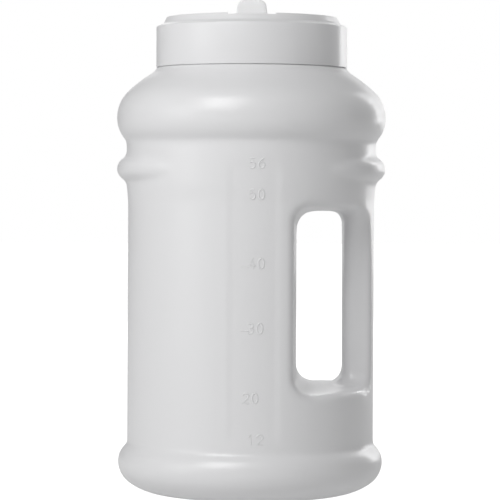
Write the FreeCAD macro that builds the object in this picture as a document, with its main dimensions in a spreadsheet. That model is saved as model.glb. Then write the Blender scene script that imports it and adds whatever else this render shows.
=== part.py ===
"""Half-gallon plastic water jug with a grip moulded into its side, a wide screw cap and a soft spout cover.

Frame: origin at the middle of the base, +Z up, the grip towards +X, all in millimetres.
The jug is a closed bottle, so it is one solid; the mould parts in the XZ plane, and both flanks are alike.
"""
import FreeCAD
import Part
import Sketcher
import math
import os

# name, value, what it is.  Lengths are in millimetres and angles in degrees.
DIMENSIONS = [
    # the turned form of the bottle
    ("body_radius", 61.4, "straight wall between the base ring and the bead"),
    ("ring_overhang", 4.6, "how far the base ring stands out from the wall"),
    ("ring_height", 15.7, "height of the base ring's widest point"),
    ("ring_upper_arc", 9.8, "radius of the base ring's upper curve"),
    ("ring_lower_arc", 12.7, "radius of the base ring's lower curve"),
    ("ring_lower_turn", 55.0, "angle of that curve, before the flatter one that runs to the foot"),
    ("foot_width", 6.0, "width of the flat ring that the jug stands on"),
    ("push_up", 4.0, "how far the middle of the base is raised"),
    ("wall_top", 145.0, "height where the straight wall starts to widen to the waist"),
    ("waist_step", 0.8, "how far the plain waist above the bead stands out from the wall"),
    ("waist_lift", 8.5, "height of the waist's start above the wall's top"),
    ("shoulder_overhang", 4.95, "how far the shoulder stands out from the waist"),
    ("shoulder_lift", 25.4, "height of the shoulder's widest point above the bead's crest"),
    ("shoulder_under_arc", 16.0, "radius of the shoulder's curve below its widest point"),
    ("shoulder_arc", 18.4, "radius of the shoulder's curve above that point"),
    ("shoulder_turn", 46.5, "angle of the upper curve, before the flatter one to the collar"),
    ("shoulder_rise", 23.5, "height of the collar above the shoulder's widest point"),
    ("collar_step", 3.1, "how far the collar under the cap stands out from the neck"),
    ("collar_height", 1.8, "height of the collar"),
    ("neck_inset", 16.8, "how far the neck inside the cap stands in from the wall"),
    ("neck_height", 20.2, "height of the neck above the collar, up to the rim that the cap closes on"),
    # the bead, which dives into the wall on both flanks
    ("bead_lift", 7.6, "height of the bead's crest above the waist's start"),
    ("bead_arc", 6.0, "radius of the bead's section"),
    ("bead_overhang", 4.85, "how far the crest stands out from the waist, where the bead is full"),
    ("bead_fillet", 3.0, "rounding between the bead and the waist"),
    ("bead_skirt", 0.2, "how far that rounding ends inside the waist"),
    ("bead_spread", 5.0, "angle from the parting plane over which the bead is full"),
    ("bead_dive", 48.5, "radius of the curve in which the bead's centre line dives"),
    # the window behind the grip
    ("window_width", 23.25, "space between the grip and the window's inner wall, on the parting plane"),
    ("window_inner_crown", 690.0, "radius in which the inner wall draws back from the parting plane"),
    ("window_floor", 54.5, "height of the window's floor on the parting plane"),
    ("window_head", 4.5, "height of wall left above the window's roof"),
    ("window_crown", 520.0, "radius in which the floor and the roof draw back from the parting plane"),
    ("window_foot_corner", 10.0, "radius of the window's lower corner away from the grip"),
    ("window_head_corner", 8.5, "radius of the window's upper corner away from the grip"),
    ("window_rim", 4.0, "rounding where the wall rolls into the window"),
    # the grip
    ("grip_depth", 15.4, "depth of the grip, from its inner face to the wall"),
    ("grip_half_width", 15.0, "half the grip's breadth"),
    ("grip_edge", 5.0, "rounding of the grip's inner edges"),
    ("grip_foot", 8.0, "rounding where the grip meets the floor"),
    ("grip_head", 6.0, "rounding where the grip meets the roof"),
    ("flare_length", 41.5, "height over which the grip's flanks flare out to the wall"),
    ("flare_over", 3.0, "how far above the window's roof the flanks would reach the wall"),
    ("flare_lip", 0.5, "how far outside the wall the flare ends, so that it runs out just below its top"),
    ("flare_end", 5.6, "angle from the grip's middle where the flare ends"),
    # the recessed strip for the measuring scale
    ("scale_depth", 0.25, "depth of the strip"),
    ("scale_angle", 22.7, "angle that the strip covers round the axis"),
    ("scale_turn", 1.4, "angle of the strip's middle from the flank's middle, towards the grip"),
    ("scale_ramp", 1.7, "angle that the slope at each side of the strip covers"),
    ("scale_bottom", 27.0, "lower end of the strip"),
    ("scale_over", 8.9, "how far the strip runs above the bead's crest"),
    ("scale_fade", 8.0, "length over which the strip's ends run out"),
    # the screw cap
    ("cap_clearance", 0.35, "space between the neck and the skirt's inside"),
    ("cap_wall", 2.7, "thickness of the skirt"),
    ("cap_gap", 0.6, "space between the collar and the skirt's lower edge"),
    ("cap_slope_rise", 1.5, "height of the slope from the skirt to the crown's foot"),
    ("cap_slope_run", 3.45, "width of that slope"),
    ("crown_step_rise", 2.7, "height of the crown's step above its foot"),
    ("crown_step_run", 1.6, "how far the step leans in"),
    ("crown_rise", 1.5, "how far the crown's middle rises above its upper edge"),
    ("cap_edge", 0.8, "rounding of the cap's edges"),
    ("channel_side", 1.75, "space beside the cover's lid in the channel across the crown"),
    ("channel_depth", 0.6, "depth of the channel below the crown's upper edge"),
    ("channel_end", 17.0, "centre of the channel's round end, behind the cap's middle"),
    # the soft spout cover, which lies in the channel
    ("cover_distance", 7.0, "middle of the cover's lid, in front of the cap's middle"),
    ("cover_radius", 10.0, "round lid over the spout"),
    ("cover_height", 2.6, "thickness of the lid"),
    ("strap_width", 8.0, "strap that ties the lid to its anchor"),
    ("strap_height", 1.6, "thickness of the strap and the anchor"),
    ("anchor_radius", 7.0, "round anchor of the strap"),
    ("tab_width", 16.3, "breadth of the pull tab at its root"),
    ("tab_top_width", 14.6, "breadth of the pull tab below its upper corners"),
    ("tab_height", 9.6, "height of the pull tab above the channel's floor"),
    ("tab_corner", 3.6, "radius of the tab's upper corners"),
    ("tab_thickness", 2.4, "thickness of the pull tab"),
    ("soft_edge", 0.6, "rounding of the soft cover's edges"),
]

TOLERANCE = 1e-6
FULL_TURN = 360.0
RIGHT_ANGLE = 90.0
EDGE_TOLERANCE = 0.02  # how near an edge's middle is to the place that it is looked for at
CORE_REACH = 1.3  # the window's core ends this many ring radii from the axis, outside the jug
FLARE_STEPS = 3  # spans between the plans that the grip's flare is lofted through
START = 1  # a sketch's numbers for the ends and the centre of a curve
END = 2
CENTRE = 3
X_AXIS = -1  # and for its axes
Y_AXIS = -2


class Size:
    """A number together with the spreadsheet expression that gives it."""

    def __init__(self, value, text=None):
        self.value = float(value)
        self.text = text if text is not None else repr(float(value))

    def __add__(self, other):
        other = as_size(other)
        return Size(self.value + other.value, f"({self.text} + {other.text})")

    def __sub__(self, other):
        other = as_size(other)
        return Size(self.value - other.value, f"({self.text} - {other.text})")

    def __mul__(self, other):
        other = as_size(other)
        return Size(self.value * other.value, f"({self.text} * {other.text})")

    def __truediv__(self, other):
        other = as_size(other)
        return Size(self.value / other.value, f"({self.text} / {other.text})")

    def __neg__(self):
        return Size(-self.value, f"(0 - {self.text})")


def as_size(number):
    return number if isinstance(number, Size) else Size(number)


def root(size):
    return Size(math.sqrt(size.value), f"sqrt({size.text})")


def cosine(degrees):
    return Size(math.cos(math.radians(degrees.value)), f"cos({degrees.text} * 1deg)")


def sine(degrees):
    return Size(math.sin(math.radians(degrees.value)), f"sin({degrees.text} * 1deg)")


class Dimensions:
    """The spreadsheet's cells as attributes, each a Size that is bound to its cell."""

    def __init__(self, doc):
        sheet = doc.addObject("Spreadsheet::Sheet", "dims")
        sheet.Label = "dimensions"
        for row, (name, value, note) in enumerate(DIMENSIONS, start=1):
            sheet.set(f"A{row}", name)
            sheet.set(f"B{row}", str(value))
            sheet.set(f"C{row}", note)
            sheet.setAlias(f"B{row}", name)
            setattr(self, name, Size(value, f"dims.{name}"))
        doc.recompute()
        self.add_radii()
        self.add_heights()

    def add_radii(self):
        """Distances from the axis. They follow the wall's radius."""
        self.ring_radius = self.body_radius + self.ring_overhang
        self.waist_radius = self.body_radius + self.waist_step
        self.shoulder_radius = self.waist_radius + self.shoulder_overhang
        self.bead_reach = self.waist_radius + self.bead_overhang
        self.grip_inner = self.body_radius - self.grip_depth
        self.window_inner = self.grip_inner - self.window_width
        self.finish_radius = self.body_radius - self.neck_inset
        self.collar_radius = self.finish_radius + self.collar_step
        self.cap_inside = self.finish_radius + self.cap_clearance
        self.cap_radius = self.cap_inside + self.cap_wall
        self.crown_foot_radius = self.cap_radius - self.cap_slope_run
        self.crown_radius = self.crown_foot_radius - self.crown_step_run
        self.channel_half = self.cover_radius + self.channel_side

    def add_heights(self):
        """Heights above the base. Each part stands on the one below it."""
        self.window_roof = self.wall_top - self.window_head
        self.flare_top = self.window_roof + self.flare_over
        self.flare_height = self.flare_top - self.flare_length
        self.waist_start = self.wall_top + self.waist_lift
        self.bead_height = self.waist_start + self.bead_lift
        self.scale_top = self.bead_height + self.scale_over
        self.shoulder_height = self.bead_height + self.shoulder_lift
        self.collar_bottom = self.shoulder_height + self.shoulder_rise
        self.collar_top = self.collar_bottom + self.collar_height
        self.neck_top = self.collar_top + self.neck_height
        self.cap_bottom = self.collar_top + self.cap_gap
        self.crown_foot = self.neck_top + self.cap_slope_rise
        self.crown_rim = self.crown_foot + self.crown_step_rise
        self.channel_floor = self.crown_rim - self.channel_depth
        self.tab_top = self.channel_floor + self.tab_height


def plane_of(body, role):
    """One of a body's own origin planes, such as XY_Plane."""
    return next(o for o in body.Origin.OriginFeatures if o.Role == role)


def new_body(doc, name):
    body = doc.addObject("PartDesign::Body", name)
    body.Label = name
    return body


def new_sketch(body, name, role, height=None):
    """A sketch on one of the body's origin planes, moved along the plane's normal where a height is given."""
    sketch = body.newObject("Sketcher::SketchObject", name)
    sketch.AttachmentSupport = [(plane_of(body, role), "")]
    sketch.MapMode = "FlatFace"
    if height is not None:
        sketch.setExpression(".AttachmentOffset.Base.z", height.text)
    return sketch


def bind(sketch, kind, parts, size, label):
    """A dimension in the sketch that follows its expression."""
    index = sketch.addConstraint(Sketcher.Constraint(kind, *parts, size.value))
    sketch.renameConstraint(index, label)
    sketch.setExpression(f"Constraints.{label}", size.text)


def pin_point(sketch, geometry, end, point, label):
    """Holds a point of the sketch at two sizes measured from the origin."""
    origin = (X_AXIS, START)
    axes = (("DistanceX", Y_AXIS, point[0]), ("DistanceY", X_AXIS, point[1]))
    for kind, axis, size in axes:
        if abs(size.value) < TOLERANCE:
            sketch.addConstraint(Sketcher.Constraint("PointOnObject", geometry, end, axis))
        elif size.value > 0:
            bind(sketch, kind, (*origin, geometry, end), size, f"{label}_{kind[-1]}")
        else:
            bind(sketch, kind, (geometry, end, *origin), -size, f"{label}_{kind[-1]}")


def vector(x, y):
    return FreeCAD.Vector(x.value, y.value, 0)


def arc_between(start, end, radius, bulge):
    """The shorter arc from start to end, bulging to the left of the way there (+1) or to the right (-1)."""
    chord = end - start
    side = FreeCAD.Vector(-chord.y, chord.x, 0).normalize()
    half = chord.Length / 2
    rise = radius - math.sqrt(max(radius * radius - half * half, 0.0))
    return Part.ArcOfCircle(start, (start + end) * 0.5 + side * (rise * bulge), end)


def draw(sketch, corners, closed=True):
    """Draws an outline. A corner is (x, y) where a straight run leaves it, and (x, y, radius, bulge) where an
    arc does."""
    points = [vector(corner[0], corner[1]) for corner in corners]
    runs = len(corners) if closed else len(corners) - 1
    ends = []
    for index in range(runs):
        start = points[index]
        finish = points[(index + 1) % len(points)]
        curve = corners[index][2:]
        if curve:
            geometry = sketch.addGeometry(arc_between(start, finish, curve[0].value, curve[1]))
        else:
            geometry = sketch.addGeometry(Part.LineSegment(start, finish))
        from_start = (sketch.getPoint(geometry, START) - start).Length
        from_end = (sketch.getPoint(geometry, END) - start).Length
        ends.append((geometry, START, END) if from_start < from_end else (geometry, END, START))
    for index in range(runs):
        geometry, first, last = ends[index]
        pin_point(sketch, geometry, first, corners[index][:2], f"corner{index}")
        if index > 0 or closed:
            before, _, before_last = ends[index - 1]
            sketch.addConstraint(Sketcher.Constraint("Coincident", before, before_last, geometry, first))
        if index == runs - 1 and not closed:
            pin_point(sketch, geometry, last, corners[index + 1][:2], f"corner{index + 1}")
        curve = corners[index][2:]
        if curve:
            bind(sketch, "Radius", (geometry,), curve[0], f"arc{index}")


def draw_circle(sketch, x, y, radius):
    """A circle round a point."""
    up = FreeCAD.Vector(0, 0, 1)
    geometry = sketch.addGeometry(Part.Circle(vector(x, y), up, radius.value))
    pin_point(sketch, geometry, CENTRE, (x, y), "centre")
    bind(sketch, "Radius", (geometry,), radius, "radius")


def feature(body, kind, name, sketch):
    """A feature made from a sketch."""
    made = body.newObject(kind, name)
    made.Profile = sketch
    sketch.Visibility = False
    return made


def turn(body, sketch, name, kind="PartDesign::Revolution", angle=None):
    """Turns a sketch round its vertical axis, fully or over an angle that lies equally to both sides."""
    made = feature(body, kind, name, sketch)
    made.ReferenceAxis = (sketch, ["V_Axis"])
    made.Angle = FULL_TURN
    if angle is not None:
        made.Midplane = True
        made.setExpression("Angle", angle.text)
    return made


def mirror(body, name, originals, role):
    """Repeats features on the other side of one of the body's planes."""
    made = body.newObject("PartDesign::Mirrored", name)
    made.Originals = originals
    made.MirrorPlane = (plane_of(body, role), [""])
    body.Tip = made
    return made


def settle(doc):
    """Recomputes the document and stops if anything in it is broken."""
    doc.recompute()
    broken = [o.Name for o in doc.Objects if "Invalid" in o.State or "Error" in o.State]
    if broken:
        raise RuntimeError(f"these features failed: {broken}")


def arc_height(radius, inset):
    """How far an arc has climbed from its widest point where it has drawn in by inset."""
    rest = radius - inset
    return root(radius * radius - rest * rest)


def arc_through(run_in, rise, angle):
    """Radius of the arc that leaves at an angle from the vertical and passes a point further in and up."""
    chord = run_in * run_in + rise * rise
    return chord / ((run_in * cosine(angle) - rise * sine(angle)) * 2)


def between(low, high, share):
    """A size part of the way from one to another."""
    return low + (high - low) * share


def draw_back(radius, half_width):
    """How far a shallow arc has drawn back at a distance from its middle."""
    return radius - root(radius * radius - half_width * half_width)


def sphere_through(half_width, rise):
    """Radius of a shallow dome."""
    return (half_width * half_width + rise * rise) / (rise * 2)


def turned_bottle(body, d):
    """The bottle without its bead, window and grip: one profile turned round the axis."""
    zero = Size(0)
    turned = sine(d.ring_lower_turn)
    foot_arc = (d.ring_height - d.ring_lower_arc * turned) / (Size(1) - turned)
    ring_turn_x = d.ring_radius - d.ring_lower_arc * (Size(1) - cosine(d.ring_lower_turn))
    ring_turn_z = d.ring_height - d.ring_lower_arc * turned
    foot = ring_turn_x - foot_arc * cosine(d.ring_lower_turn)
    foot_inner = foot - d.foot_width
    ring_top = d.ring_height + arc_height(d.ring_upper_arc, d.ring_overhang)
    shoulder_low = d.shoulder_height - arc_height(d.shoulder_under_arc, d.shoulder_overhang)
    turn_x = d.shoulder_radius - d.shoulder_arc * (Size(1) - cosine(d.shoulder_turn))
    turn_z = d.shoulder_height + d.shoulder_arc * sine(d.shoulder_turn)
    neck_arc = arc_through(turn_x - d.collar_radius, d.collar_bottom - turn_z, d.shoulder_turn)
    sketch = new_sketch(body, "bottle_profile", "XZ_Plane")
    corners = [
        (zero, d.push_up, sphere_through(foot_inner, d.push_up), 1),
        (foot_inner, zero),
        (foot, zero, foot_arc, -1),
        (ring_turn_x, ring_turn_z, d.ring_lower_arc, -1),
        (d.ring_radius, d.ring_height, d.ring_upper_arc, -1),
        (d.body_radius, ring_top),
        (d.body_radius, d.wall_top),
        (d.waist_radius, d.waist_start),
        (d.waist_radius, shoulder_low, d.shoulder_under_arc, -1),
        (d.shoulder_radius, d.shoulder_height, d.shoulder_arc, -1),
        (turn_x, turn_z, neck_arc, -1),
        (d.collar_radius, d.collar_bottom),
        (d.collar_radius, d.collar_top),
        (d.finish_radius, d.collar_top),
        (d.finish_radius, d.neck_top),
        (zero, d.neck_top),
    ]
    draw(sketch, corners)
    turn(body, sketch, "turned_bottle")


def diving_bead(body, d):
    """The bead follows a rounded square: full over the label side and the grip side, inside the wall on the
    flanks."""
    zero = Size(0)
    middle = d.bead_reach - d.bead_arc
    lead = middle - d.bead_dive
    bend_x = middle * cosine(d.bead_spread)
    bend_y = middle * sine(d.bead_spread)
    side_x = lead * cosine(d.bead_spread)
    side_y = lead * sine(d.bead_spread) + d.bead_dive
    path = new_sketch(body, "bead_path", "XY_Plane", d.bead_height)
    right = [
        (middle, zero, middle, -1),
        (bend_x, bend_y, d.bead_dive, -1),
        (side_x, side_y),
    ]
    left = [
        (-side_x, side_y, d.bead_dive, -1),
        (-bend_x, bend_y, middle, -1),
        (-middle, zero, middle, -1),
        (-bend_x, -bend_y, d.bead_dive, -1),
        (-side_x, -side_y),
        (side_x, -side_y, d.bead_dive, -1),
        (bend_x, -bend_y, middle, -1),
    ]
    draw(path, right + left)
    section = new_sketch(body, "bead_section", "XZ_Plane")
    skirt_x = d.waist_radius - d.bead_skirt
    fillet_x = skirt_x + d.bead_fillet
    apart = d.bead_arc + d.bead_fillet
    fillet_z = root(apart * apart - (fillet_x - middle) * (fillet_x - middle))
    share = d.bead_arc / apart
    touch_x = between(middle, fillet_x, share)
    touch_z = fillet_z * share
    inner_x = middle - d.bead_fillet
    draw(section, [
        (inner_x, d.bead_height - fillet_z),
        (skirt_x, d.bead_height - fillet_z, d.bead_fillet, 1),
        (touch_x, d.bead_height - touch_z, d.bead_arc, -1),
        (touch_x, d.bead_height + touch_z, d.bead_fillet, 1),
        (skirt_x, d.bead_height + fillet_z),
        (inner_x, d.bead_height + fillet_z),
    ])
    pipe = feature(body, "PartDesign::AdditivePipe", "bead", section)
    pipe.Spine = (path, [])
    path.Visibility = False


def edges_where(shape, test):
    """Names of the edges whose middle point passes a test."""
    names = []
    for number, edge in enumerate(shape.Edges, start=1):
        first, last = edge.ParameterRange
        if test(edge, edge.valueAt((first + last) / 2)):
            names.append(f"Edge{number}")
    return names


def round_edges(body, name, test, radius):
    """Rounds the edges that pass a test."""
    base = body.Tip
    made = body.newObject("PartDesign::Fillet", name)
    made.Base = (base, edges_where(base.Shape, test))
    made.setExpression("Radius", radius.text)
    return made


def near(value, size):
    return abs(value - size.value) < EDGE_TOLERANCE


def flare_section(body, d, step):
    """A plan of the grip at one height. The lowest has straight flanks, and the highest follows the wall."""
    share = Size(step / FLARE_STEPS)
    spread = share * share
    reach = d.body_radius + d.flare_lip
    end_x = between(reach + d.window_rim, reach * cosine(d.flare_end), spread)
    end_y = between(d.grip_half_width, reach * sine(d.flare_end), spread)
    inner_y = between(d.grip_half_width, root(reach * reach - d.grip_inner * d.grip_inner), spread)
    height = between(d.flare_height, d.flare_top, share)
    plan = new_sketch(body, f"flare_plan_{step}", "XY_Plane", height)
    curve = (reach / spread, -1) if step else ()
    draw(plan, [
        (d.grip_inner, inner_y),
        (d.grip_inner, -inner_y, *curve),
        (end_x, -end_y),
        (end_x, end_y, *curve),
    ])
    return plan


def make_window_core(doc, d):
    """The space behind and beside the grip. The jug is cut with it, once its edges are rounded."""
    zero = Size(0)
    body = new_body(doc, "window_core")
    outside = d.ring_radius * CORE_REACH
    floor_side = d.window_floor - draw_back(d.window_crown, outside)
    roof_side = d.window_roof + draw_back(d.window_crown, outside)
    side = new_sketch(body, "core_side", "YZ_Plane")
    draw(side, [
        (outside, floor_side),
        (outside, roof_side, d.window_crown, 1),
        (-outside, roof_side),
        (-outside, floor_side, d.window_crown, 1),
    ])
    block = feature(body, "PartDesign::Pad", "core", side)
    block.setExpression("Length", outside.text)
    settle(doc)
    inner_side = d.window_inner - draw_back(d.window_inner_crown, outside)
    plan = new_sketch(body, "inner_wall_plan", "XY_Plane")
    draw(plan, [
        (-outside, -outside),
        (inner_side, -outside, d.window_inner_crown, -1),
        (inner_side, outside),
        (-outside, outside),
    ])
    wall = feature(body, "PartDesign::Pocket", "inner_wall", plan)
    wall.SideType = "Symmetric"
    wall.setExpression("Length", (roof_side * 2 + outside).text)
    settle(doc)
    bar = new_sketch(body, "bar_plan", "XY_Plane")
    draw(bar, [
        (d.grip_inner, -d.grip_half_width),
        (outside, -d.grip_half_width),
        (outside, d.grip_half_width),
        (d.grip_inner, d.grip_half_width),
    ])
    straight = feature(body, "PartDesign::Pocket", "straight_grip", bar)
    straight.Reversed = True
    straight.setExpression("Length", d.flare_height.text)
    settle(doc)
    sections = [flare_section(body, d, step) for step in range(FLARE_STEPS + 1)]
    flare = feature(body, "PartDesign::SubtractiveLoft", "flared_grip", sections[0])
    flare.Sections = sections[1:]
    settle(doc)

    def beside_grip(middle):
        return abs(middle.y) > d.grip_half_width.value - EDGE_TOLERANCE

    def on_grip_face(edge, middle):
        upright = edge.BoundBox.ZLength > d.grip_edge.value
        return upright and near(middle.x, d.grip_inner) and beside_grip(middle)

    round_edges(body, "grip_edges", on_grip_face, d.grip_edge)
    settle(doc)

    def at_grip_foot(edge, middle):
        low = middle.z < d.window_floor.value + EDGE_TOLERANCE
        outwards = d.grip_inner.value - EDGE_TOLERANCE < middle.x < outside.value - EDGE_TOLERANCE
        return low and outwards and abs(middle.y) < d.grip_half_width.value + EDGE_TOLERANCE

    def at_grip_head(edge, middle):
        high = middle.z > d.window_roof.value - EDGE_TOLERANCE
        reach = (d.body_radius + d.flare_lip * 2).value
        return high and d.grip_inner.value - EDGE_TOLERANCE < middle.x < reach

    round_edges(body, "grip_foot", at_grip_foot, d.grip_foot)
    settle(doc)
    round_edges(body, "grip_head", at_grip_head, d.grip_head)
    settle(doc)

    def on_inner_wall(middle):
        return middle.x < d.window_inner.value + EDGE_TOLERANCE and abs(middle.y) < d.grip_half_width.value

    def at_foot_corner(edge, middle):
        return on_inner_wall(middle) and middle.z < d.window_floor.value + EDGE_TOLERANCE

    def at_head_corner(edge, middle):
        return on_inner_wall(middle) and middle.z > d.window_roof.value - EDGE_TOLERANCE

    round_edges(body, "foot_corner", at_foot_corner, d.window_foot_corner)
    settle(doc)
    round_edges(body, "head_corner", at_head_corner, d.window_head_corner)
    settle(doc)
    return body


def window(doc, body, d):
    """Cuts the window and the recess beside the grip, and rolls the wall into them."""
    core = make_window_core(doc, d)
    cut = body.newObject("PartDesign::Boolean", "window")
    cut.Type = "Cut"
    cut.setObjects([core])
    body.Tip = cut
    settle(doc)

    def on_rim(edge, middle):
        on_wall = near(math.hypot(middle.x, middle.y), d.body_radius)
        beside = abs(middle.y) > d.grip_half_width.value - EDGE_TOLERANCE
        return on_wall and beside and middle.x > 0

    round_edges(body, "window_rims", on_rim, d.window_rim)
    settle(doc)


def strip_section(body, d, name, height, wall, lift):
    """A plan of what the strip takes away at one height, lifted off the wall where the strip has run out."""
    middle = d.scale_turn - Size(RIGHT_ANGLE)
    half = d.scale_angle / 2
    floor = wall - d.scale_depth
    crest = wall + d.scale_depth

    def at(radius, angle):
        return radius * cosine(middle + angle), radius * sine(middle + angle) - lift

    clear = crest + d.window_rim
    plan = new_sketch(body, name, "XY_Plane", height)
    draw(plan, [
        (*at(floor, d.scale_ramp - half), floor, -1),
        at(floor, half - d.scale_ramp),
        at(crest, half + d.scale_ramp),
        at(clear, half + d.scale_ramp),
        at(clear, -half - d.scale_ramp),
        at(crest, -half - d.scale_ramp),
    ])
    return plan


def scale_strips(body, d):
    """A shallow strip on each flank, where the measuring scale stands."""
    none = Size(0)
    out = d.scale_depth * 2
    levels = [
        (d.scale_bottom, d.body_radius, out),
        (d.scale_bottom + d.scale_fade, d.body_radius, none),
        (d.wall_top, d.body_radius, none),
        (d.waist_start, d.waist_radius, none),
        (d.scale_top - d.scale_fade, d.waist_radius, none),
        (d.scale_top, d.waist_radius, out),
    ]
    plans = [strip_section(body, d, f"strip_plan_{step}", *level) for step, level in enumerate(levels)]
    strip = feature(body, "PartDesign::SubtractiveLoft", "strip", plans[0])
    strip.Sections = plans[1:]
    strip.Ruled = True
    settle(strip.Document)
    mirror(body, "other_strip", [strip], "XZ_Plane")


def make_jug_body(doc, d):
    body = new_body(doc, "jug_body")
    turned_bottle(body, d)
    diving_bead(body, d)
    window(doc, body, d)
    scale_strips(body, d)
    return body


def make_screw_cap(doc, d):
    """The cap: a cup over the neck, with a raised crown and a channel across it."""
    zero = Size(0)
    body = new_body(doc, "screw_cap")
    sketch = new_sketch(body, "cap_profile", "XZ_Plane")
    corners = [
        (zero, d.neck_top),
        (d.cap_inside, d.neck_top),
        (d.cap_inside, d.cap_bottom),
        (d.cap_radius, d.cap_bottom),
        (d.cap_radius, d.neck_top),
        (d.crown_foot_radius, d.crown_foot),
        (d.crown_radius, d.crown_rim, sphere_through(d.crown_radius, d.crown_rise), -1),
        (zero, d.crown_rim + d.crown_rise),
    ]
    draw(sketch, corners)
    turn(body, sketch, "turned_cap")
    settle(doc)
    half = d.channel_half
    outline = new_sketch(body, "channel_outline", "XY_Plane", d.channel_floor)
    front = -d.cap_radius
    draw(outline, [
        (-half, front),
        (half, front),
        (half, d.channel_end, half, -1),
        (zero, d.channel_end + half, half, -1),
        (-half, d.channel_end),
    ])
    channel = feature(body, "PartDesign::Pocket", "channel", outline)
    channel.Reversed = True
    channel.setExpression("Length", (d.channel_depth + d.crown_rise * 2).text)
    settle(doc)

    def rounded(edge, middle):
        reach = math.hypot(middle.x, middle.y)
        on_skirt = near(reach, d.cap_radius)
        on_rim = near(reach, d.crown_radius) and near(middle.z, d.crown_rim)
        return on_skirt and near(middle.z, d.neck_top) or near(reach, d.crown_foot_radius) or on_rim

    round_edges(body, "cap_rounding", rounded, d.cap_edge)
    return body


def make_spout_cover(doc, d):
    """The soft cover: a round lid with a pull tab, tied by a strap to its anchor at the channel's end."""
    zero = Size(0)
    body = new_body(doc, "spout_cover")
    lid = new_sketch(body, "lid_outline", "XY_Plane", d.channel_floor)
    draw_circle(lid, zero, -d.cover_distance, d.cover_radius)
    pad = feature(body, "PartDesign::Pad", "lid", lid)
    pad.setExpression("Length", d.cover_height.text)
    strap = new_sketch(body, "strap_outline", "XY_Plane", d.channel_floor)
    half = d.strap_width / 2
    neck = root(d.anchor_radius * d.anchor_radius - half * half)
    draw(strap, [
        (-half, -d.cover_distance),
        (half, -d.cover_distance),
        (half, d.channel_end - neck, d.anchor_radius, -1),
        (d.anchor_radius, d.channel_end, d.anchor_radius, -1),
        (zero, d.channel_end + d.anchor_radius, d.anchor_radius, -1),
        (-d.anchor_radius, d.channel_end, d.anchor_radius, -1),
        (-half, d.channel_end - neck),
    ])
    pad = feature(body, "PartDesign::Pad", "strap", strap)
    pad.setExpression("Length", d.strap_height.text)
    tab = new_sketch(body, "tab_outline", "XZ_Plane", d.cover_distance)
    root_half = d.tab_width / 2
    top_half = d.tab_top_width / 2
    shoulder = d.tab_top - d.tab_corner
    draw(tab, [
        (-root_half, d.channel_floor),
        (root_half, d.channel_floor),
        (top_half, shoulder, d.tab_corner, -1),
        (top_half - d.tab_corner, d.tab_top),
        (d.tab_corner - top_half, d.tab_top, d.tab_corner, -1),
        (-top_half, shoulder),
    ])
    pad = feature(body, "PartDesign::Pad", "tab", tab)
    pad.SideType = "Symmetric"
    pad.setExpression("Length", d.tab_thickness.text)
    settle(doc)
    lid_top = d.channel_floor + d.cover_height
    strap_top = d.channel_floor + d.strap_height

    def soft(edge, middle):
        behind = middle.y + d.cover_distance.value
        on_lid = near(middle.z, lid_top) and near(math.hypot(middle.x, behind), d.cover_radius)
        on_strap = near(middle.z, strap_top) and behind > d.cover_radius.value + EDGE_TOLERANCE
        on_tab = near(abs(behind), d.tab_thickness / 2) and middle.z > lid_top.value + EDGE_TOLERANCE
        return on_lid or on_strap or on_tab

    round_edges(body, "soft_edges", soft, d.soft_edge)
    return body


def main():
    doc = FreeCAD.newDocument("water_jug")
    d = Dimensions(doc)
    pieces = [make(doc, d) for make in (make_jug_body, make_screw_cap, make_spout_cover)]
    settle(doc)
    os.makedirs("parts", exist_ok=True)
    for piece in pieces:
        shape = piece.Shape
        if shape.isNull() or not shape.isValid() or len(shape.Solids) != 1:
            raise RuntimeError(f"{piece.Label} is not one valid solid")
        shape.exportStep(f"parts/{piece.Label}.step")
        print(piece.Label, round(shape.Volume / 1000, 2), "cm3", len(shape.Faces), "faces")


main()
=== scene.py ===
# %% [markdown]
# # A half-gallon plastic water jug, dressed in Blender
# The jug is a blow-moulded bottle with a grip moulded into its side.  A wide screw cap closes its neck,
# and a soft cover lies in a channel across the cap, with a pull tab that stands up at the back.
# The imported model gives the true sizes, in metres.

# %% Load the model
import bpy
import bmesh
import math
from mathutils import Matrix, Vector


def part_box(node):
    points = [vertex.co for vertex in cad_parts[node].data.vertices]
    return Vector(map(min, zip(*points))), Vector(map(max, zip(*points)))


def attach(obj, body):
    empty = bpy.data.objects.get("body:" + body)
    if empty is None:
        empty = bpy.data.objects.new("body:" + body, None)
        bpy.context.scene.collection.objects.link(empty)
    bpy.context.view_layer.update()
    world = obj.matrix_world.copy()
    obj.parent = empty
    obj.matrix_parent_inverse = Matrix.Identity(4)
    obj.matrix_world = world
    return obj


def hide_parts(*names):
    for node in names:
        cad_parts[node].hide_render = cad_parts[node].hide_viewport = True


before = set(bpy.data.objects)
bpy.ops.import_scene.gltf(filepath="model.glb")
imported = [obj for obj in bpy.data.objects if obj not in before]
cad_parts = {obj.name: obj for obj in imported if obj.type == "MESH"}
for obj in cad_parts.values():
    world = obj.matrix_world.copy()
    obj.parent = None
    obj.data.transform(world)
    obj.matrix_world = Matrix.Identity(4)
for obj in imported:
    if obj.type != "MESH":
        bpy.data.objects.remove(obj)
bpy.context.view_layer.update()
MM = 0.001
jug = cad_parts["jug_body"]
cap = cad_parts["screw_cap"]
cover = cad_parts["spout_cover"]

# %% [markdown]
# ## Camera
# A long lens far away keeps the jug's sides nearly parallel.  The lens looks level, a little above the
# middle, and the frame is shifted down, so that uprights stay upright.  The camera leans by a quarter of
# a degree, as one that is held by hand does.  Lengths are in metres, the sensor's in millimetres.

# %% Camera
LENS_DISTANCE = 1.3
LENS_PLACE = (-0.55 * MM, 150.75 * MM)
SENSOR = 36.0
SEEN_WIDTH = 0.250
SHIFT = -0.12
LEAN = -0.26  # degrees


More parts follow.
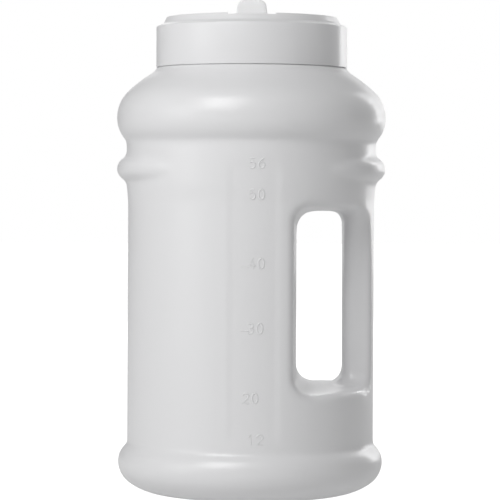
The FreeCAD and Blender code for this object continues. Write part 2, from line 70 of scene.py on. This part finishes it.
def make_camera():
    """A level camera in front of the jug, with the frame shifted down."""
    data = bpy.data.cameras.new("camera")
    data.sensor_width = SENSOR
    data.lens = SENSOR * LENS_DISTANCE / SEEN_WIDTH
    data.shift_y = SHIFT
    camera = bpy.data.objects.new("camera", data)
    camera.location = (LENS_PLACE[0], -LENS_DISTANCE, LENS_PLACE[1])
    camera.rotation_euler = (math.radians(90), math.radians(LEAN), 0)
    bpy.context.scene.collection.objects.link(camera)
    bpy.context.scene.camera = camera
    return camera


camera = make_camera()
print("lens:", round(camera.data.lens, 1), "mm")

# %% [markdown]
# ## Helpers
# A shader and a geometry tree are both a set of nodes, so one small function adds a node to either.  It
# finds an input by its name, or by its number where a node has several inputs of one name.
# Colours are written as sRGB hex, the way a paint program shows them, and shaders want linear values.

# %% Small helpers
def colour_of(code):
    """A colour written as sRGB hex, turned to the linear values that shaders use."""
    parts = [int(code[place:place + 2], 16) / 255 for place in (1, 3, 5)]
    linear = [part / 12.92 if part <= 0.04045 else ((part + 0.055) / 1.055) ** 2.4 for part in parts]
    return (*linear, 1.0)


def add_node(tree, kind, settings=None, links=None):
    """Adds one node, sets its properties and sockets, and links its inputs."""
    node = tree.nodes.new(kind)
    for name, value in (settings or {}).items():
        if isinstance(name, str) and hasattr(node, name):
            setattr(node, name, value)
        else:
            node.inputs[name].default_value = value
    for name, source in (links or {}).items():
        tree.links.new(source, node.inputs[name])
    return node


def new_material(name):
    """An empty node material, and its tree."""
    material = bpy.data.materials.new(name)
    material.use_nodes = True
    material.node_tree.nodes.clear()
    return material, material.node_tree


def wear(piece, material):
    """Gives every slot of a piece the same material."""
    if not piece.material_slots:
        piece.data.materials.append(material)
    for slot in piece.material_slots:
        slot.material = material


# %% [markdown]
# ## Satin plastics
# Polyethylene that is blown against a blasted mould comes out satin: it shows soft, wide highlights, and
# up close a fine grain.  It is milky, so a little light travels through it, which softens every shade.
# Injection-moulded polypropylene looks much the same, with a finer grain, and silicone is duller and
# lets more light through.  One function can make all three, because only numbers differ.
# - The grain is noise that tilts the surface, at the spacing of the blasting, in millimetres.
# - A much wider noise bends the surface very slightly, as uneven cooling does.
# - The same wide noise varies the gloss, because handling polishes a surface in patches.

# %% A moulded plastic
PLASTIC_IOR = 1.5
WAVE_LENGTH_MM = 30.0
WAVE_DEPTH_MM = 0.05
GLOSS_SPREAD = 0.03


def moulded_plastic(name, colour, roughness, grain_mm, grain_depth_mm, milky, depth_mm):
    """A milky moulded plastic with a fine grain, faint waves and patches of slightly different gloss."""
    material, tree = new_material(name)
    place = add_node(tree, "ShaderNodeTexCoord").outputs["Object"]
    grain = add_node(tree, "ShaderNodeTexNoise", {"Scale": 1 / (grain_mm * MM), "Detail": 3.0},
                     {"Vector": place})
    waves = add_node(tree, "ShaderNodeTexNoise", {"Scale": 1 / (WAVE_LENGTH_MM * MM), "Detail": 1.0},
                     {"Vector": place})
    bent = add_node(tree, "ShaderNodeBump", {"Distance": WAVE_DEPTH_MM * MM},
                    {"Height": waves.outputs["Fac"]})
    bump = add_node(tree, "ShaderNodeBump", {"Distance": grain_depth_mm * MM},
                    {"Height": grain.outputs["Fac"], "Normal": bent.outputs["Normal"]})
    gloss = add_node(tree, "ShaderNodeMapRange",
                     {"To Min": roughness - GLOSS_SPREAD, "To Max": roughness + GLOSS_SPREAD},
                     {"Value": waves.outputs["Fac"]})
    shader = add_node(tree, "ShaderNodeBsdfPrincipled",
                      {"Base Color": colour_of(colour), "IOR": PLASTIC_IOR, "Subsurface Weight": milky,
                       "Subsurface Radius": (1, 1, 1), "Subsurface Scale": depth_mm * MM},
                      {"Normal": bump.outputs["Normal"], "Roughness": gloss.outputs["Result"]})
    add_node(tree, "ShaderNodeOutputMaterial", links={"Surface": shader.outputs["BSDF"]})
    return material


# %% The three plastics
polyethylene = moulded_plastic("blown satin polyethylene", "#E6E6E7", 0.30, 0.9, 0.004, 0.15, 2.0)
polypropylene = moulded_plastic("moulded satin polypropylene", "#E8E8E9", 0.30, 0.7, 0.003, 0.15, 2.0)
silicone = moulded_plastic("moulded milky silicone", "#F4F4F5", 0.42, 0.6, 0.003, 0.9, 5.0)
wear(jug, polyethylene)
wear(cap, polypropylene)
wear(cover, silicone)
print("materials:", [material.name for material in (polyethylene, polypropylene, silicone)])

# %% [markdown]
# ## The cap's soft edges
# On the real cap every edge is slightly rounded, and the skirt comes down almost onto the jug's collar, so
# only a fine, soft line shows between them.  A render could draw that line with a texture, but real
# geometry catches light from every side.  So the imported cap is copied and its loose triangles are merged.
# The skirt's lower edge is let down, and stops just short of the collar.  The crown's rim is raised by
# half a millimetre, which fades to nothing towards the cover in the middle.  A bevel rounds what is still
# sharp.

# %% A merged copy and its modifiers
WELD = 0.001 * MM


def merged_copy(node, name):
    """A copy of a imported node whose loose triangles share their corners."""
    mesh = node.data.copy()
    mesh.transform(node.matrix_world)
    work = bmesh.new()
    work.from_mesh(mesh)
    bmesh.ops.remove_doubles(work, verts=work.verts, dist=WELD)
    bmesh.ops.recalc_face_normals(work, faces=work.faces)
    work.to_mesh(mesh)
    work.free()
    piece = bpy.data.objects.new(name, mesh)
    bpy.context.scene.collection.objects.link(piece)
    return piece


def apply_modifiers(piece):
    """Turns a piece with its modifiers into a plain mesh."""
    graph = bpy.context.evaluated_depsgraph_get()
    mesh = bpy.data.meshes.new_from_object(piece.evaluated_get(graph))
    piece.modifiers.clear()
    piece.data = mesh
    mesh.name = piece.name
    return piece


# %% The cap
SHARP = math.radians(30)
EDGE_ROUNDING_MM, EDGE_STEPS = 0.3, 3
SKIRT_DROP_MM, SKIRT_EDGE_MM = 0.58, 0.05
CROWN_FOOT_MM, CROWN_LIFT = 233.5, 0.2
CROWN_FROM_MM, CROWN_RAMP_MM = 14.0, 6.0


def soften(piece):
    """Rounds a piece's sharp edges."""
    bevel = piece.modifiers.new("soft edges", "BEVEL")
    bevel.width = EDGE_ROUNDING_MM * MM
    bevel.segments = EDGE_STEPS
    bevel.limit_method = "ANGLE"
    bevel.angle_limit = SHARP
    bevel.use_clamp_overlap = True
    apply_modifiers(piece)
    for face in piece.data.polygons:
        face.use_smooth = True
    return piece


def make_cap():
    """The cap with its skirt let down, its crown's rim raised and its edges rounded."""
    piece = merged_copy(cap, "cap_with_soft_edges")
    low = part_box("screw_cap")[0][2]
    for corner in piece.data.vertices:
        if corner.co.z < low + SKIRT_EDGE_MM * MM:
            corner.co.z -= SKIRT_DROP_MM * MM
        above = corner.co.z - CROWN_FOOT_MM * MM
        outward = math.hypot(corner.co.x, corner.co.y) / MM - CROWN_FROM_MM
        if above > 0.0:
            corner.co.z += CROWN_LIFT * above * min(max(outward / CROWN_RAMP_MM, 0.0), 1.0)
    return soften(piece)


soft_cap = make_cap()
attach(soft_cap, "root")
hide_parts("screw_cap")
wear(soft_cap, polypropylene)
print("cap:", len(soft_cap.data.polygons), "faces")

# %% [markdown]
# ## The jug's soft forms
# Blown plastic never follows the mould into a sharp corner: every change of form is rounded by a
# millimetre or two.  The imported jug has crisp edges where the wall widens, where the bead dives into the
# wall and along the strip for the scale.  A bevel would have to find each of them.  A remesh is simpler:
# it wraps an even skin round a merged copy, and a few rounds of smoothing then soften every edge alike.
# That would wash out the shallow strips on the flanks, so there the smoothing is lighter, and the strips
# are pressed in again a little afterwards.  Angles are in degrees round the jug's axis.

# %% Where the strips are
STRIP_MIDDLE, STRIP_REACH = 88.6, 16.0
STRIP_LOW_MM, STRIP_HIGH_MM = 20.0, 172.0
STRIP_HALF, STRIP_SLOPE = 11.35, 0.6
STRIP_DEPTH_MM = 0.16
STRIP_INSET_MM, STRIP_FADE_MM = 7.0, 6.0
LEAST_WALL_RADIUS_MM = 55.0


def away_from_strips(place):
    """Whether a place is clear of the shallow strips on the two flanks."""
    turn = abs(math.degrees(math.atan2(place.y, place.x)))
    beside = abs(turn - STRIP_MIDDLE) > STRIP_REACH
    return beside or not STRIP_LOW_MM * MM < place.z < STRIP_HIGH_MM * MM


def press_strips(mesh):
    """Presses both strips in a little deeper, with slopes as narrow as the skin can hold."""
    for point in mesh.vertices:
        turn = abs(math.degrees(math.atan2(point.co.y, point.co.x)))
        inside = STRIP_HALF - abs(turn - STRIP_MIDDLE)
        share = min(max(0.5 + inside / (2 * STRIP_SLOPE), 0.0), 1.0)
        for end in (point.co.z / MM - STRIP_LOW_MM - STRIP_INSET_MM,
                    STRIP_HIGH_MM - STRIP_INSET_MM - point.co.z / MM):
            share *= min(max(end / STRIP_FADE_MM, 0.0), 1.0)
        radius = math.hypot(point.co.x, point.co.y)
        if share > 0.0 and radius > LEAST_WALL_RADIUS_MM * MM:
            point.co.xy *= 1.0 - share * STRIP_DEPTH_MM * MM / radius


# %% The jug
SKIN_STEP_MM = 1.28
SMOOTHING_ROUNDS = 6
STRIP_ROUNDS = 2
SMOOTHING_SHARE = 0.5


def make_jug():
    """The jug with an even skin and softened forms; the strips' fine edges are softened less."""
    piece = merged_copy(jug, "jug_with_soft_forms")
    skin = piece.modifiers.new("even skin", "REMESH")
    skin.mode = "VOXEL"
    skin.voxel_size = SKIN_STEP_MM * MM
    skin.use_smooth_shade = True
    piece = apply_modifiers(piece)
    elsewhere = piece.vertex_groups.new(name="elsewhere")
    clear = [point.index for point in piece.data.vertices if away_from_strips(point.co)]
    elsewhere.add(clear, 1.0, "REPLACE")
    for name, rounds, group in (("all over", STRIP_ROUNDS, ""),
                                ("elsewhere", SMOOTHING_ROUNDS - STRIP_ROUNDS, elsewhere.name)):
        smooth = piece.modifiers.new(name, "SMOOTH")
        smooth.factor, smooth.iterations, smooth.vertex_group = SMOOTHING_SHARE, rounds, group
    apply_modifiers(piece)
    press_strips(piece.data)
    return piece


soft_jug = make_jug()
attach(soft_jug, "root")
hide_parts("jug_body")
wear(soft_jug, polyethylene)
print("jug:", len(soft_jug.data.polygons), "faces")

# %% [markdown]
# ## The measuring scale
# A measuring scale in fluid ounces stands in the shallow strip on each flank.  The toolmaker runs a
# round-nosed cutter along each figure in the mould, so on the jug a figure is a thin round ridge, very
# low.  A bump map could fake it, but it would look flat from the side.  So each figure is drawn as the
# cutter's path, and because every figure follows one rule, Geometry Nodes do the rest:
# - each point's distance along the line of writing becomes an angle round the jug's axis;
# - a ray towards the axis finds the wall at that place, and the path is laid on it;
# - a round profile runs along the path, sunk into the wall until only the relief stands out.

# %% The tree for a raised figure
PROFILE_SIDES = 12
FIGURE_INPUTS = (("Height", "NodeSocketFloat"), ("Angle", "NodeSocketFloat"),
                 ("Wall radius", "NodeSocketFloat"), ("Cutter", "NodeSocketFloat"),
                 ("Relief", "NodeSocketFloat"), ("Wall", "NodeSocketObject"), ("Plastic", "NodeSocketMaterial"))


def figure_tree():
    """Geometry nodes that lay flat paths on the jug's wall and sweep a round profile along them."""
    tree = bpy.data.node_groups.new("raised figure", "GeometryNodeTree")
    faces = tree.interface
    faces.new_socket("Geometry", in_out="OUTPUT", socket_type="NodeSocketGeometry")
    faces.new_socket("Paths", in_out="INPUT", socket_type="NodeSocketGeometry")
    for name, kind in FIGURE_INPUTS:
        faces.new_socket(name, in_out="INPUT", socket_type=kind)
    given = add_node(tree, "NodeGroupInput").outputs
    here = add_node(tree, "GeometryNodeInputPosition")
    at = add_node(tree, "ShaderNodeSeparateXYZ", links={"Vector": here.outputs[0]}).outputs
    along = add_node(tree, "ShaderNodeMath", {"operation": "DIVIDE"}, {0: at["X"], 1: given["Wall radius"]})
    turned = add_node(tree, "ShaderNodeMath", {"operation": "ADD"}, {0: given["Angle"], 1: along.outputs[0]})
    cosine = add_node(tree, "ShaderNodeMath", {"operation": "COSINE"}, {0: turned.outputs[0]})
    sine = add_node(tree, "ShaderNodeMath", {"operation": "SINE"}, {0: turned.outputs[0]})
    outwards = add_node(tree, "ShaderNodeCombineXYZ", links={"X": cosine.outputs[0], "Y": sine.outputs[0]})
    inwards = add_node(tree, "ShaderNodeVectorMath", {"operation": "SCALE", "Scale": -1.0},
                       {0: outwards.outputs[0]})
    up = add_node(tree, "ShaderNodeMath", {"operation": "ADD"}, {0: given["Height"], 1: at["Y"]})
    axis = add_node(tree, "ShaderNodeCombineXYZ", links={"Z": up.outputs[0]})
    reach = add_node(tree, "ShaderNodeMath", {"operation": "MULTIPLY", 1: 2.0}, {0: given["Wall radius"]})
    away = add_node(tree, "ShaderNodeVectorMath", {"operation": "SCALE"},
                    {0: outwards.outputs[0], "Scale": reach.outputs[0]})
    start = add_node(tree, "ShaderNodeVectorMath", {"operation": "ADD"},
                     {0: axis.outputs[0], 1: away.outputs[0]})
    wall = add_node(tree, "GeometryNodeObjectInfo", {"transform_space": "RELATIVE"},
                    {"Object": given["Wall"]})
    ray = add_node(tree, "GeometryNodeRaycast", {"Ray Length": 1.0},
                   {"Target Geometry": wall.outputs["Geometry"], "Source Position": start.outputs[0],
                    "Ray Direction": inwards.outputs[0]})
    depth = add_node(tree, "ShaderNodeMath", {"operation": "SUBTRACT"},
                     {0: given["Relief"], 1: given["Cutter"]})
    sunk = add_node(tree, "ShaderNodeVectorMath", {"operation": "SCALE"},
                    {0: outwards.outputs[0], "Scale": depth.outputs[0]})
    place = add_node(tree, "ShaderNodeVectorMath", {"operation": "ADD"},
                     {0: ray.outputs["Hit Position"], 1: sunk.outputs[0]})
    laid = add_node(tree, "GeometryNodeSetPosition",
                    links={"Geometry": given["Paths"], "Position": place.outputs[0]})
    paths = add_node(tree, "GeometryNodeMeshToCurve", links={"Mesh": laid.outputs["Geometry"]})
    profile = add_node(tree, "GeometryNodeCurvePrimitiveCircle", {"Resolution": PROFILE_SIDES},
                       {"Radius": given["Cutter"]})
    ridge = add_node(tree, "GeometryNodeCurveToMesh", {"Fill Caps": True},
                     {"Curve": paths.outputs["Curve"], "Profile Curve": profile.outputs["Curve"]})
    whole = add_node(tree, "GeometryNodeRealizeInstances", links={"Geometry": ridge.outputs["Mesh"]})
    dressed = add_node(tree, "GeometryNodeSetMaterial",
                       links={"Geometry": whole.outputs["Geometry"], "Material": given["Plastic"]})
    add_node(tree, "NodeGroupOutput", links={"Geometry": dressed.outputs["Geometry"]})
    return tree


figure_nodes = figure_tree()
print("nodes in the tree for a figure:", len(figure_nodes.nodes))

# %% [markdown]
# ## The figures as paths
# Each figure is one or two strokes in a box one unit high, the way a stencil for engraving has them.
# Straight strokes are points, and bowls are parts of an ellipse.

# %% Strokes
BOWL_STEPS = 18


def bowl(middle_x, middle_y, half_width, half_height, start, end):
    """Points along a part of an ellipse, between two angles in degrees."""
    turns = [math.radians(start + (end - start) * step / BOWL_STEPS) for step in range(BOWL_STEPS + 1)]
    return [(middle_x + half_width * math.cos(turn), middle_y + half_height * math.sin(turn))
            for turn in turns]


STROKES = {
    "0": [bowl(0.30, 0.50, 0.28, 0.50, 90, 450)],
    "1": [[(0.10, 0.78), (0.34, 1.0), (0.34, 0.0)]],
    "2": [bowl(0.30, 0.71, 0.28, 0.29, 165, -30) + [(0.02, 0.0), (0.60, 0.0)]],
    "3": [bowl(0.28, 0.76, 0.25, 0.24, 150, -90) + bowl(0.28, 0.27, 0.29, 0.27, 90, -150)],
    "4": [[(0.44, 0.0), (0.44, 1.0), (0.0, 0.30), (0.62, 0.30)]],
    "5": [[(0.54, 1.0), (0.12, 1.0), (0.08, 0.55)] + bowl(0.28, 0.32, 0.30, 0.32, 125, -145)],
    "6": [[(0.50, 1.0), (0.24, 0.80), (0.06, 0.52)] + bowl(0.30, 0.31, 0.28, 0.31, 170, 530)],
    "-": [[(0.0, 0.0), (0.75, 0.0)]],
}
FIGURE_WIDTH, FIGURE_STEP = 0.60, 0.92


def stroke_mesh(text, size):
    """The strokes of a string as loose edges in the XY plane, centred on the origin."""
    width = FIGURE_STEP * (len(text) - 1) + FIGURE_WIDTH
    points, edges = [], []
    for place, figure in enumerate(text):
        for stroke in STROKES[figure]:
            edges += [(len(points) + step, len(points) + step + 1) for step in range(len(stroke) - 1)]
            points += [((x + place * FIGURE_STEP - width / 2) * size, (y - 0.5) * size, 0)
                       for x, y in stroke]
    mesh = bpy.data.meshes.new("strokes")
    mesh.from_pydata(points, edges, [])
    return mesh


# %% [markdown]
# ## Writing the scale
# The figures are ounces, and ten ounces are 31 to 33 mm of height beside the grip.  A short dash stands at
# the left of the middle marks.  Each row below is a string, its height, and how far it stands towards the
# grip from the flank's middle.  The far flank has the same scale, written so that it reads rightly from
# that side.  All figures of a flank become one plain mesh, which the export needs.

# %% The figures on both flanks
FIGURES = [("56", 163.6, 2.7), ("50", 148.7, 2.7), ("40", 115.7, 2.8), ("30", 84.7, 2.2),
           ("20", 51.4, 0.0), ("12", 31.6, 2.4), ("-", 116.3, -3.2), ("-", 86.0, -3.2)]
FIGURE_SIZE_MM = 4.8
CUTTER_MM = 0.6
RELIEF_MM = 0.22
WALL_RADIUS_MM = 61.15


def write_figure(text, height_mm, along_mm, flank):
    """One string, written on the near flank (-1) or on the far one (+1)."""
    carrier = bpy.data.objects.new("figure", stroke_mesh(text, FIGURE_SIZE_MM * MM))
    bpy.context.scene.collection.objects.link(carrier)
    modifier = carrier.modifiers.new("raised figure", "NODES")
    modifier.node_group = figure_nodes
    angle = math.radians(90 * flank) - flank * along_mm / WALL_RADIUS_MM
    values = {"Height": height_mm * MM, "Angle": angle, "Wall radius": WALL_RADIUS_MM * MM,
              "Cutter": CUTTER_MM * MM, "Relief": RELIEF_MM * MM, "Wall": soft_jug, "Plastic": polyethylene}
    for socket in figure_nodes.interface.items_tree:
        if socket.in_out == "INPUT" and socket.name in values:
            modifier[socket.identifier] = values[socket.name]
    return carrier


def join_plain(name, carriers):
    """All carriers' results as one plain mesh, and the carriers removed."""
    graph = bpy.context.evaluated_depsgraph_get()
    work = bmesh.new()
    for carrier in carriers:
        mesh = bpy.data.meshes.new_from_object(carrier.evaluated_get(graph))
        work.from_mesh(mesh)
        bpy.data.meshes.remove(mesh)
        bpy.data.objects.remove(carrier)
    bmesh.ops.remove_doubles(work, verts=work.verts, dist=WELD)
    bmesh.ops.recalc_face_normals(work, faces=work.faces)
    mesh = bpy.data.meshes.new(name)
    work.to_mesh(mesh)
    work.free()
    mesh.shade_smooth()
    piece = bpy.data.objects.new(name, mesh)
    bpy.context.scene.collection.objects.link(piece)
    return piece


for name, flank in (("scale_figures", -1), ("scale_figures_far", 1)):
    figures = join_plain(name, [write_figure(*figure, flank) for figure in FIGURES])
    wear(figures, polyethylene)
    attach(figures, "root")
    print(name, len(figures.data.polygons), "faces")

# %% [markdown]
# ## Floor
# A flat white sheet of paper, so bright that it shows as plain white.  The paper glows at full strength only
# for the camera's own rays.  The jug gets about a third of that glow and the paper's soft bounce, so that the
# base ring's underside is neither washed out nor black where it meets the floor.

# %% Floor
PAPER_COLOUR, PAPER_GLOW = "#A8A8A8", 0.34


def paper():
    """White paper that shows as plain white to the camera and bounces soft light onto the jug."""
    material, tree = new_material("white paper")
    shader = add_node(tree, "ShaderNodeBsdfDiffuse", {"Color": colour_of(PAPER_COLOUR)})
    seen = add_node(tree, "ShaderNodeLightPath")
    strength = add_node(tree, "ShaderNodeMapRange", {"To Min": PAPER_GLOW, "To Max": 1.0},
                        {"Value": seen.outputs["Is Camera Ray"]})
    glow = add_node(tree, "ShaderNodeEmission", links={"Strength": strength.outputs["Result"]})
    both = add_node(tree, "ShaderNodeAddShader", links={0: shader.outputs[0], 1: glow.outputs[0]})
    add_node(tree, "ShaderNodeOutputMaterial", links={"Surface": both.outputs[0]})
    return material


def make_floor(reach=6.0):
    """A wide flat floor at the height that the jug stands on."""
    mesh = bpy.data.meshes.new("floor")
    corners = [(-reach, -reach, 0), (reach, -reach, 0), (reach, reach, 0), (-reach, reach, 0)]
    mesh.from_pydata(corners, [], [(0, 1, 2, 3)])
    mesh.materials.append(paper())
    floor = bpy.data.objects.new("floor", mesh)
    bpy.context.scene.collection.objects.link(floor)
    return floor


print("floor:", [round(side, 1) for side in make_floor().dimensions[:2]], "m")

# %% [markdown]
# ## Lights
# White plastic on white needs shade to show its form, so the light comes mainly from the left and from
# behind.  A large soft box at the front left does most of the work, and a flat one above it makes the wide
# highlight on the shoulder.  A tall narrow one behind on the right draws the bright rim, with a darker band
# beside it.  Azimuth 0 is the camera's side, and the powers are in watts.

# %% Soft boxes
LAMP_DISTANCE = 1.6
AIM = Vector((0, 0, 0.12))
LOWEST_LAMP, OVER_FLOOR = 0.45, 0.03
LOW_ELEVATION = 10


def soft_box(name, azimuth, elevation, power, width=0.8, height=0.8):
    """A soft box that looks at the jug. The azimuth grows from the camera's side towards +X."""
    turn, lift = math.radians(azimuth), math.radians(elevation)
    away = Vector((math.sin(turn) * math.cos(lift), -math.cos(turn) * math.cos(lift), math.sin(lift)))
    data = bpy.data.lights.new(name, "AREA")
    data.shape = "RECTANGLE"
    data.size = width
    data.size_y = height
    data.energy = power
    lamp = bpy.data.objects.new(name, data)
    lamp.location = AIM + away * LAMP_DISTANCE
    clear_of_floor = height / 2 + OVER_FLOOR if elevation < LOW_ELEVATION else 0
    lamp.location.z = max(lamp.location.z, LOWEST_LAMP, clear_of_floor)
    lamp.rotation_euler = (AIM - lamp.location).to_track_quat("-Z", "Y").to_euler()
    lamp.visible_camera = False
    bpy.context.scene.collection.objects.link(lamp)
    return lamp


# %% The seven soft boxes
soft_box("key", -30, 35, 10.8)
soft_box("strip above", -25, 50, 2.8, 0.9, 0.25)
soft_box("left", -60, 5, 3.3)
soft_box("rim", 150, 5, 3.4)
soft_box("rim strip", 137, 5, 4.0, 0.2, 1.1)
soft_box("back", 180, 35, 2.6)
soft_box("low back", 180, 5, 1.5)

# %% [markdown]
# ## Surroundings
# The room is an even pale grey for the jug, and plain white behind it for the camera.

# %% World
ROOM_LIGHT, WHITE_BEHIND = 0.231, 1.0


def make_world(around, behind):
    """An even world: one strength for the jug, another for what the camera sees directly."""
    world = bpy.data.worlds.new("studio")
    world.use_nodes = True
    bpy.context.scene.world = world
    tree = world.node_tree
    tree.nodes.clear()
    seen = add_node(tree, "ShaderNodeLightPath")
    strength = add_node(tree, "ShaderNodeMapRange", {"To Min": around, "To Max": behind},
                        {"Value": seen.outputs["Is Camera Ray"]})
    sky = add_node(tree, "ShaderNodeBackground", {"Color": colour_of("#FFFFFF")},
                   {"Strength": strength.outputs["Result"]})
    add_node(tree, "ShaderNodeOutputWorld", links={"Surface": sky.outputs[0]})
    return world


print("world:", make_world(ROOM_LIGHT, WHITE_BEHIND).name)
bpy.context.scene.view_settings.view_transform = "Standard"
